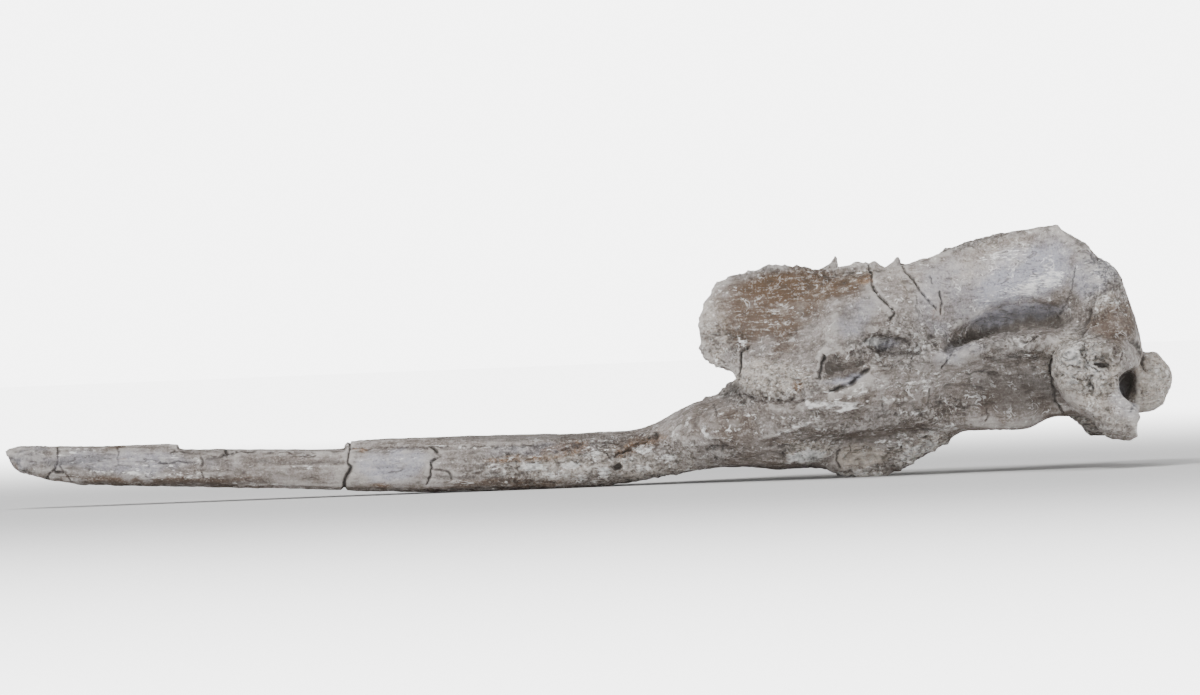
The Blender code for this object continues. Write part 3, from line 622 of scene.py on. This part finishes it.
def flake_steps(grain, size, seed):
    """Thin layers that have flaked off: their steps, the pale lips of the edges, and the painted shade at
    their feet.
    """
    field = layered_noise(grain, size, seed, 4, 0.6)
    height = np.zeros(len(field))
    lip = np.zeros(len(field))
    foot = np.zeros(len(field))
    for level in (-0.6, -0.15, 0.3, 0.75):
        height += ease(level, level + 0.06, field)
        lip = np.maximum(lip, 1 - ease(0.03, 0.11, np.abs(field - level - 0.11)))
        foot = np.maximum(foot, 1 - ease(0.02, 0.07, np.abs(field - level + 0.03)))
    return height - 2, lip, foot


def carve(normals, masks, edge):
    """Relief along the normal in millimetres, the darkness of cracks, pits, creases, grooves and sockets,
    partly their own colour and partly painted shade, and how pale the chalk is.

    Edge is 1 on rims.
    """
    u, y, v, grain = masks["place"]
    rough, knobbly = masks["rough"], masks["knobbly"]
    near = side_share(y, normals, -1)
    far = side_share(y, normals, 1)
    wobble = noise_pair(grain, 3.2, (501, 510), 2) * 1.3

    back = ease(*CRANIUM_FROM, u)
    swell = 0.55 * layered_noise(grain, (34, 18, 18), 11) * (0.35 + 0.65 * back)
    fibre = layered_noise(grain, (13, 2.6, 2.6), 31, 3)
    bumps = layered_noise(grain, 5.5, 41, 3)
    crumbs = layered_noise(grain, 2.4, 51, 2)
    holes = pit_noise(grain, 5.0, 61, 0.55)
    small_holes = pit_noise(grain, 2.6, 71, 0.5)
    lumps = layered_noise(grain, 11.0, 101, 2)
    steps, lip, foot = flake_steps(grain, (26, 8, 8), 111)
    fine_steps, fine_lip, fine_foot = flake_steps(grain, (12, 4.5, 4.5), 131)
    flaky = np.clip(0.25 + 0.9 * rough + 0.5 * lattice_noise(grain, 26, 121), 0, 1)
    flaky = flaky * (1 - 0.7 * masks["smooth"])
    relief = swell + 0.20 * fibre + (0.14 + 0.50 * rough) * bumps + (0.08 + 0.26 * rough) * crumbs
    relief += 0.8 * rough * lumps + flaky * (0.34 * steps + 0.20 * fine_steps)
    streak = (1 - back) * layered_noise(grain, (46, 2.2, 2.2), 181, 2)
    relief += 0.22 * streak
    relief -= rough * (1.7 * holes + 0.9 * small_holes)
    relief += edge * (1.5 * bumps + 1.0 * crumbs - 1.8 * holes + 0.5 * back)
    lobes = lobe_noise(grain, (9, 8, 8), 151)
    small_lobes = lobe_noise(grain, (4.5, 4, 4), 161)
    relief += knobbly * (2.6 * (lobes - 0.3) + 1.2 * (small_lobes - 0.3))
    # Creases between the lobes, which are darkened with painted shade
    small_creases = 0.6 - 0.6 * ease(0.02, 0.08, small_lobes)
    creases = knobbly * np.maximum(1 - ease(0.02, 0.10, lobes), small_creases)
    chalky = ease(-0.1, 0.5, bumps + 0.4 * lattice_noise(grain, 9, 141))
    lip = flaky * np.maximum(lip, 0.8 * fine_lip) * chalky
    foot = flaky * np.maximum(foot, fine_foot)
    relief -= (1 - rough) * 0.5 * holes * ease(0.1, 0.6, lattice_noise(grain, 30, 81))

    lowered, shade = crack_relief(u, v, near, NEAR_CRACKS, wobble)
    both, both_shade = crack_relief(u, v, np.maximum(near, far), BOTH_CRACKS, wobble * 1.5)
    relief -= np.maximum(lowered, both)
    shade = np.maximum(shade, both_shade)
    wu, wv = u + wobble[:, 0], v + wobble[:, 1]
    relief += form_relief(wu, wv, np.maximum(near, far), FORMS) * (1 + 0.25 * bumps)
    relief += form_relief(wu, wv, near, NEAR_FORMS) * (1 + 0.4 * bumps)
    relief += 0.5 * spot_share(wu, wv, NEAR_KNOBS, SPOT_EDGE, near)
    outer = ease(*OUTER_FROM, np.abs(y))
    outline = 1 - ease(0.6, 0.9, np.abs(normals[:, 1]))
    chipped = outline * outer * ease(-0.5, 0.3, lattice_noise(grain, 9, 171))
    chipped = chipped * (0.1 + 0.9 * edge)
    drift = 5 * lattice_noise(grain, 14, 173)
    relief -= spot_share(wu + drift, wv + drift, NOTCHES, SPOT_EDGE, chipped)
    relief += back_relief(y, v, normals)
    upwards = ease(0.3, 0.8, normals[:, 2])
    relief -= 1.5 * (1 - outer) * upwards * ease(930, 990, u)
    strokes = stroke_share(wu + 0.5 * wobble[:, 1], wv, near)
    lip = np.maximum(lip, strokes * ease(-0.9, 0.2, crumbs))
    # Pale streaks on the snout's raised fibres, and painted shade in the grooves between them
    lip = np.maximum(lip, 0.75 * ease(0.40, 0.85, streak))
    shade = np.maximum(shade, 0.50 * ease(0.40, 0.90, -streak))
    pit_u, pit_v = u + 0.6 * wobble[:, 0], v + 0.6 * wobble[:, 1]
    pits = spot_share(pit_u, pit_v, NEAR_PITS, SPOT_EDGE, near)
    relief -= pits

    # The old break, sunk, and darkened with its own dark colour and with painted shade
    broken = break_width(u + 0.35 * wobble[:, 0], v)
    relief -= BREAK_DEPTH * broken
    shade = np.maximum(shade, ease(0.3, 0.8, broken))

    # The far side's crack, sunk, and darkened with its own dark colour and with painted shade
    crack_u, half, deep = FAR_CRACK
    wandering = u + 14 * lattice_noise(grain, 16, 91)
    far_crack = np.clip(1 - np.abs(wandering - crack_u) / half, 0, 1) * far
    relief -= deep * far_crack
    shade = np.maximum(shade, 0.8 * far_crack)

    sockets = tooth_sockets(u, y, v, normals)
    groove = midline_groove(u, y, normals)
    relief -= sockets + groove
    # Painted shade, darker the deeper: in sockets, the midline groove and pits, at the feet of flaked steps
    # and in the creases between lobes
    for depth, full, most in ((sockets, SOCKET_DEPTH, 0.45), (groove, 2.4, 0.5), (pits, 2.5, 0.5)):
        shade = np.maximum(shade, most * np.clip(depth / full, 0, 1))
    shade = np.maximum(shade, np.maximum(0.6 * foot, 0.95 * creases))
    return relief, shade, lip * (1 - shade)


# Mesh work


def read_rows(items, name, kind, width):
    """Values of a mesh's items, in rows of the given width."""
    values = np.empty(len(items) * width, kind)
    items.foreach_get(name, values)
    return values.reshape(-1, width)


def mesh_rows(mesh):
    """Points, normals and edges of a mesh."""
    points = read_rows(mesh.vertices, "co", np.float32, 3).astype(float)
    normals = read_rows(mesh.vertex_normals, "vector", np.float32, 3).astype(float)
    return points, normals, read_rows(mesh.edges, "vertices", np.int32, 2)


def neighbour_mean(values, edges, count):
    """Mean of each point's neighbours, for rows of values."""
    total = np.zeros_like(values)
    for k in range(values.shape[1]):
        total[:, k] = np.bincount(edges[:, 0], values[edges[:, 1], k], count)
        total[:, k] += np.bincount(edges[:, 1], values[edges[:, 0], k], count)
    touching = np.bincount(edges.ravel(), minlength=count)
    return total / np.maximum(touching, 1)[:, None]


def set_points(mesh, points):
    mesh.vertices.foreach_set("co", points.astype(np.float32).ravel())
    mesh.update()


def apply_modifier(obj, kind, **settings):
    """Adds a modifier, and keeps its result as the object's mesh."""
    modifier = obj.modifiers.new(kind.lower(), kind)
    for key, value in settings.items():
        setattr(modifier, key, value)
    bpy.context.view_layer.update()
    shown = obj.evaluated_get(bpy.context.evaluated_depsgraph_get())
    mesh = bpy.data.meshes.new_from_object(shown)
    obj.modifiers.clear()
    obj.data = mesh


def new_object(name, data):
    obj = bpy.data.objects.new(name, data)
    bpy.context.scene.collection.objects.link(obj)
    return obj


def splinter(mesh, foot_u, foot_v, tip_u, tip_v, radius):
    """Adds a thin cone that leans from its foot to its tip."""
    foot = photo_vector(foot_u, SPLINTER_Y, foot_v)
    tip = photo_vector(tip_u, SPLINTER_Y, tip_v)
    along = tip - foot
    turn = along.to_track_quat("Z", "Y").to_matrix().to_4x4()
    stand = photo_to_row() @ Matrix.Translation((foot + tip) / 2) @ turn
    shape = {"radius1": radius, "radius2": radius * SPLINTER_TAPER, "depth": along.length}
    bmesh.ops.create_cone(mesh, cap_ends=True, segments=12, matrix=stand, **shape)


def refined_copy(source, name, grid):
    """A fine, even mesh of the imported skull, without its facets and with its splinters."""
    obj = new_object(name, source.data.copy())
    apply_modifier(obj, "WELD", merge_threshold=WELD_REACH)
    apply_modifier(obj, "SUBSURF", levels=2, render_levels=2)
    joined = bmesh.new()
    joined.from_mesh(obj.data)
    for row in SPLINTERS:
        splinter(joined, *row)
    joined.to_mesh(obj.data)
    joined.free()
    apply_modifier(obj, "REMESH", mode="VOXEL", voxel_size=grid)
    points, _, edges = mesh_rows(obj.data)
    for _ in range(SMOOTH_ROUNDS):
        points += 0.5 * (neighbour_mean(points, edges, len(points)) - points)
    set_points(obj.data, shift_outline(points))
    return obj


def shift_outline(points):
    """Moves points along the photograph's plane by the small shifts."""
    place = np.array(photo_to_row())[:3, :3] / MM
    u, _, v = photo_place(points)
    moved = points.copy()
    for u0, v0, reach, du, dv in SHIFTS:
        share = np.exp(-(((u - u0) ** 2 + (v - v0) ** 2) / reach**2))
        step = place @ np.array([du, 0.0, -dv]) * MM_PER_PIXEL * MM
        moved += share[:, None] * step
    return moved


def hollowness(points, normals, edges, rounds):
    """How far a point lies below the mean of its surroundings, in millimetres."""
    smooth = points.copy()
    for _ in range(rounds):
        smooth = neighbour_mean(smooth, edges, len(points))
    return ((smooth - points) * normals).sum(axis=1) / MM


def make_skull(frame):
    grid = GRID
    skull = refined_copy(frame["nodes"]["skull"], "fossil_skull", grid)
    mesh = skull.data
    points, normals, edges = mesh_rows(mesh)
    rim = -hollowness(points, normals, edges, round(RIM_ROUNDS * GRID / grid))
    relief, _, _ = carve(normals, place_masks(points), ease(0.5, 1.6, rim))
    points += normals * relief[:, None] * MM
    points[:, 2] = np.maximum(points[:, 2], 0.0)
    set_points(mesh, points)
    triangles = sum(len(p.vertices) - 2 for p in mesh.polygons)
    if triangles > MOST_TRIANGLES:
        apply_modifier(skull, "DECIMATE", ratio=MOST_TRIANGLES / triangles)
    paint(skull.data)
    skull.data.shade_smooth()
    return skull


def paint(mesh):
    """Two colour attributes that the material reads: stains with painted shade on the underside, and marks
    with painted shade and highlight.
    """
    points, normals, edges = mesh_rows(mesh)
    masks = place_masks(points)
    _, shade, lip = carve(normals, masks, np.zeros(len(points)))
    fine, wide, broad = (hollowness(points, normals, edges, rounds) for rounds in HOLLOW_ROUNDS)
    # Painted shade in hollows and painted highlight on ridges, together with dirt in the hollows and wear
    # on the ridges
    hollow_shading = 0.5 + 0.5 * np.tanh(1.5 * fine) * 0.55
    hollow_shading += 0.5 * np.tanh(0.25 * wide) * 0.45 + 0.5 * np.tanh(0.10 * broad) * 0.45
    # Painted shade on what faces down: browner and darker the more it faces the floor
    under = ease(0.45, 0.95, -normals[:, 2]) * (1 - 0.8 * masks["cream"])
    brown = np.maximum(masks["brown"], 0.55 * under)
    stains = np.stack([brown, masks["blue"], masks["cream"], masks["rust"]], axis=1)
    # Dark marks: the own dark colour of cracks and stains, and painted shade from the carving, the dark
    # patches and the underside
    dark = np.maximum(np.maximum(shade, 0.62 * masks["dark"]), 0.35 * under)
    white = np.maximum(masks["white"], lip)
    marks = np.stack([white, dark, hollow_shading, masks["rough"]], axis=1)
    for name, values in (("stains", stains), ("marks", marks)):
        attribute = mesh.attributes.new(name, "FLOAT_COLOR", "POINT")
        attribute.data.foreach_set("color", values.astype(np.float32).ravel())


# Material


class Nodes:
    """Short calls for building a node tree."""

    def __init__(self, tree):
        self.tree = tree

    def add(self, kind, inputs=None, **settings):
        """A node with its settings, and with values or links for its named or numbered inputs."""
        node = self.tree.nodes.new(kind)
        for key, value in settings.items():
            setattr(node, key, value)
        self.feed(node, inputs or {})
        return node

    def feed(self, node, inputs):
        for key, value in inputs.items():
            if isinstance(value, bpy.types.NodeSocket):
                self.tree.links.new(value, node.inputs[key])
            else:
                node.inputs[key].default_value = value

    def math(self, operation, a, b=0.0, clamp=False):
        node = self.add("ShaderNodeMath", {0: a, 1: b}, operation=operation, use_clamp=clamp)
        return node.outputs[0]

    def times(self, a, b):
        return self.math("MULTIPLY", a, b)

    def plus(self, a, b, clamp=False):
        return self.math("ADD", a, b, clamp)

    def minus(self, a, b, clamp=False):
        return self.math("SUBTRACT", a, b, clamp)

    def ramp(self, value, low, high, start=0.0, end=1.0):
        """Start at low and end at high, with a smooth step between."""
        inputs = {"Value": value, "From Min": low, "From Max": high, "To Min": start, "To Max": end}
        node = self.add("ShaderNodeMapRange", inputs, interpolation_type="SMOOTHSTEP")
        return node.outputs["Result"]

    def thin_lines(self, noise, outer, inner):
        """1 where a noise is within inner of one half, 0 where it is more than outer away."""
        return self.ramp(self.math("ABSOLUTE", self.minus(noise, 0.5)), outer, inner)

    def cover(self, base, share, name):
        """Base, covered with one of the named colours by a share."""
        inputs = {0: share, 6: base, 7: colour(*COLOURS[name])}
        node = self.add("ShaderNodeMix", inputs, data_type="RGBA", clamp_factor=True)
        return node.outputs[2]

    def noise(self, where, scale, detail, roughness, distortion=0.0):
        inputs = {"Vector": where, "Scale": scale, "Detail": detail}
        inputs |= {"Roughness": roughness, "Distortion": distortion}
        return self.add("ShaderNodeTexNoise", inputs).outputs["Fac"]

    def stretched(self, where, scale, turn=(0.0, 0.0, 0.0)):
        inputs = {"Vector": where, "Scale": scale, "Rotation": turn}
        return self.add("ShaderNodeMapping", inputs).outputs["Vector"]

    def channels(self, name):
        """Red, green, blue and alpha of a colour attribute."""
        source = self.add("ShaderNodeAttribute", attribute_name=name)
        split = self.add("ShaderNodeSeparateColor", {0: source.outputs["Color"]})
        return (*split.outputs[:3], source.outputs["Alpha"])


def colour(red, green, blue):
    """Linear colour of screen values from 0 to 255."""
    parts = [c / 255 for c in (red, green, blue)]
    return (*[p / 12.92 if p <= 0.04045 else ((p + 0.055) / 1.055) ** 2.4 for p in parts], 1.0)


def new_material(name):
    """A new material, the node calls for its tree, and its shader."""
    material = bpy.data.materials.new(name)
    material.use_nodes = True
    return material, Nodes(material.node_tree), material.node_tree.nodes["Principled BSDF"]


def bone_material():
    material, n, shader = new_material("fossil_bone")
    where = n.add("ShaderNodeTexCoord").outputs["Object"]
    along = n.stretched(where, (0.22, 1.0, 1.0))
    slanted = n.stretched(where, (0.3, 1.0, 1.0), (0.0, math.radians(38), 0.0))
    brown, blue, cream, rust = n.channels("stains")
    white, dark, hollow_shading, rough = n.channels("marks")

    cloud = n.noise(where, 38.0, 6.0, 0.6)
    mottle = n.noise(where, 150.0, 6.0, 0.62)
    fibre = n.noise(along, 520.0, 6.0, 0.62, 0.3)
    grit = n.noise(where, 760.0, 4.0, 0.7)
    scratch = n.noise(along, 900.0, 5.0, 0.6, 0.6)
    cross_scratch = n.noise(slanted, 700.0, 5.0, 0.6, 0.9)

    veil = n.noise(where, 95.0, 3.0, 0.5)
    base = n.cover(colour(*COLOURS["grey bone"]), n.ramp(cloud, 0.36, 0.64), "pale bone")
    base = n.cover(base, n.times(n.ramp(veil, 0.44, 0.66), 0.4), "veil")
    spotty = n.plus(0.15, n.times(rough, 0.45))
    base = n.cover(base, n.times(n.ramp(mottle, 0.48, 0.66), spotty), "mottle")
    for name, amount, broken_by, lift, low, high in (
        ("brown", brown, veil, 0.40, 0.40, 0.80),
        ("blue", blue, cloud, 0.40, 0.45, 0.85),
        ("cream", cream, mottle, 0.30, 0.42, 0.78),
        ("rust", rust, mottle, 0.30, 0.55, 0.90),
    ):
        stained = n.ramp(n.plus(broken_by, n.times(amount, lift)), low, high)
        base = n.cover(base, n.times(amount, stained), name)

    grain = n.minus(n.plus(fibre, grit), 1.0)
    base = n.cover(base, n.times(n.ramp(grain, 0.02, 0.22), 0.48), "light grain")
    base = n.cover(base, n.times(n.ramp(grain, -0.02, -0.22), 0.52), "dark grain")

    speck = n.noise(where, 820.0, 2.0, 0.7)
    spots = n.plus(n.times(rough, 0.20), n.times(cream, 0.12))
    spots = n.minus(n.plus(spots, 0.12), n.times(brown, 0.15), True)
    base = n.cover(base, n.times(n.ramp(speck, 0.53, 0.61), spots), "light speck")
    base = n.cover(base, n.times(n.ramp(speck, 0.47, 0.37), spots), "dark speck")

    hair = n.thin_lines(n.noise(along, 110.0, 2.0, 0.6, 1.6), 0.030, 0.008)
    hair = n.times(hair, n.ramp(veil, 0.50, 0.58))
    base = n.cover(base, n.times(hair, 0.55), "hair crack")
    curl = n.thin_lines(n.noise(where, 165.0, 1.0, 0.5, 1.2), 0.050, 0.015)
    curl = n.times(curl, n.ramp(mottle, 0.54, 0.62))
    parts = n.add("ShaderNodeSeparateXYZ", {0: where})
    curl = n.times(curl, n.ramp(parts.outputs["X"], -0.12, 0.05))

    scratched = n.plus(n.math("MAXIMUM", scratch, cross_scratch), n.times(white, 0.16))
    flakes = n.math("MAXIMUM", n.ramp(scratched, 0.66, 0.76), n.times(curl, 0.7))
    crust = n.plus(n.times(scratch, 1.3), n.times(mottle, 1.1))
    crust = n.ramp(n.plus(white, n.minus(crust, 1.2)), 0.68, 1.0)
    flakes = n.times(flakes, n.minus(1.0, n.times(brown, 0.4)))
    flakes = n.math("MAXIMUM", flakes, crust)
    base = n.cover(base, n.times(flakes, 0.92), "chalk")

    # Darker in hollows: dirt and painted shade
    low = n.ramp(hollow_shading, 0.54, 0.84)
    # Paler on ridges: wear and a painted highlight
    high = n.minus(n.ramp(hollow_shading, 0.46, 0.22), n.plus(brown, dark), True)
    base = n.cover(base, n.times(low, n.minus(0.72, n.times(blue, 0.30))), "dirt_and_hollow_shade")
    base = n.cover(base, n.times(high, 0.45), "wear_and_highlight")
    # Darkest marks: the cracks' own dark colour, and painted shade in cracks, pits, creases, on the
    # underside and in the dark patches
    base = n.cover(base, n.times(dark, 0.92), "cut_and_shade")

    shine = n.minus(0.84, n.times(blue, 0.16))
    shine = n.plus(shine, n.times(n.minus(mottle, 0.5), 0.3), True)

    pores = n.add("ShaderNodeTexVoronoi", {"Vector": where, "Scale": 620.0}, feature="F1")
    pore = n.times(n.ramp(pores.outputs["Distance"], 0.32, 0.10), rough)
    height = n.plus(n.times(fibre, 0.7), n.times(grit, n.plus(0.35, rough)))
    height = n.minus(height, n.times(pore, 0.9))
    bump = n.add("ShaderNodeBump", {"Strength": 1.0, "Distance": 0.0009, "Height": height})
    n.feed(shader, {"Base Color": base, "Roughness": shine, "Specular IOR Level": 0.35})
    n.feed(shader, {"Normal": bump.outputs["Normal"]})
    return material


def floor_material():
    """Pale floor that glows further out, as a lit studio sweep does."""
    material, n, shader = new_material("studio_floor")
    where = n.add("ShaderNodeTexCoord").outputs["Object"]
    away = n.add("ShaderNodeVectorMath", {0: where}, operation="LENGTH")
    glow = n.times(n.ramp(away.outputs["Value"], *SWEEP_FROM), SWEEP_GLOW)
    n.feed(shader, {"Base Color": FLOOR_COLOUR, "Roughness": 0.9, "Specular IOR Level": 0.1})
    n.feed(shader, {"Emission Color": WHITE, "Emission Strength": glow})
    return material


# Studio


def make_floor():
    mesh = bpy.data.meshes.new("floor")
    reach = 30.0
    corners = [(-reach, -reach, 0.0), (reach, -reach, 0.0), (reach, reach, 0.0), (-reach, reach, 0.0)]
    mesh.from_pydata(corners, [], [(0, 1, 2, 3)])
    floor = new_object("floor", mesh)
    mesh.materials.append(floor_material())


def make_light(name, place, aim, size, power):
    data = bpy.data.lights.new(name, "AREA")
    data.shape = "DISK"
    data.size = size
    data.energy = power
    light = new_object(name, data)
    light.location = place
    light.rotation_euler = (Vector(aim) - Vector(place)).to_track_quat("-Z", "Y").to_euler()


def make_studio():
    world = bpy.data.worlds.new("studio")
    bpy.context.scene.world = world
    world.use_nodes = True
    n = Nodes(world.node_tree)
    where = n.add("ShaderNodeTexCoord").outputs["Generated"]
    parts = n.add("ShaderNodeSeparateXYZ", {0: where})
    height = n.math("ABSOLUTE", parts.outputs["Z"])
    glow = n.ramp(height, *WALL_FADE, WALL_GLOW, CEILING_GLOW)
    n.feed(world.node_tree.nodes["Background"], {"Color": WHITE, "Strength": glow})
    middle = (0.05, 0.0, 0.06)
    make_light("key", (-0.7, -1.1, 1.9), middle, 0.8, 34.0)
    make_light("top", (0.4, 0.2, 2.1), middle, 1.0, 12.0)


def make_camera():
    data = bpy.data.cameras.new("camera")
    camera = new_object("camera", data)
    wide, high = PHOTO_SIZE
    middle = photo_to_row() @ photo_vector(wide / 2, 0.0, high / 2)
    data.sensor_width = SENSOR_WIDTH
    data.lens = SENSOR_WIDTH * CAMERA_DISTANCE / (wide * MM_PER_PIXEL * MM)
    data.clip_end = 200.0
    stand = Matrix.Translation(middle + Vector((0.0, -CAMERA_DISTANCE, 0.0)))
    roll = Matrix.Rotation(REST_TURN, 4, "Y")
    level = Matrix.Rotation(math.radians(90), 4, "X")
    camera.matrix_world = stand @ roll @ level
    bpy.context.scene.camera = camera


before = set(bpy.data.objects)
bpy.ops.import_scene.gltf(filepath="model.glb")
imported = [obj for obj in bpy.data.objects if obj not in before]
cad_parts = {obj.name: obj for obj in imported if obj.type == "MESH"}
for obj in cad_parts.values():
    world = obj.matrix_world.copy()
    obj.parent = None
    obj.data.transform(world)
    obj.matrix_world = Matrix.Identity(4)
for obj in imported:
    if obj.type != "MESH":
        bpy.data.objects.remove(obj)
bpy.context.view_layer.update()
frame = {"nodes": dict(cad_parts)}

skull = make_skull(frame)
skull.data.materials.clear()
skull.data.materials.append(bone_material())
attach(skull, "root")
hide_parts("skull")

make_floor()
make_studio()
make_camera()
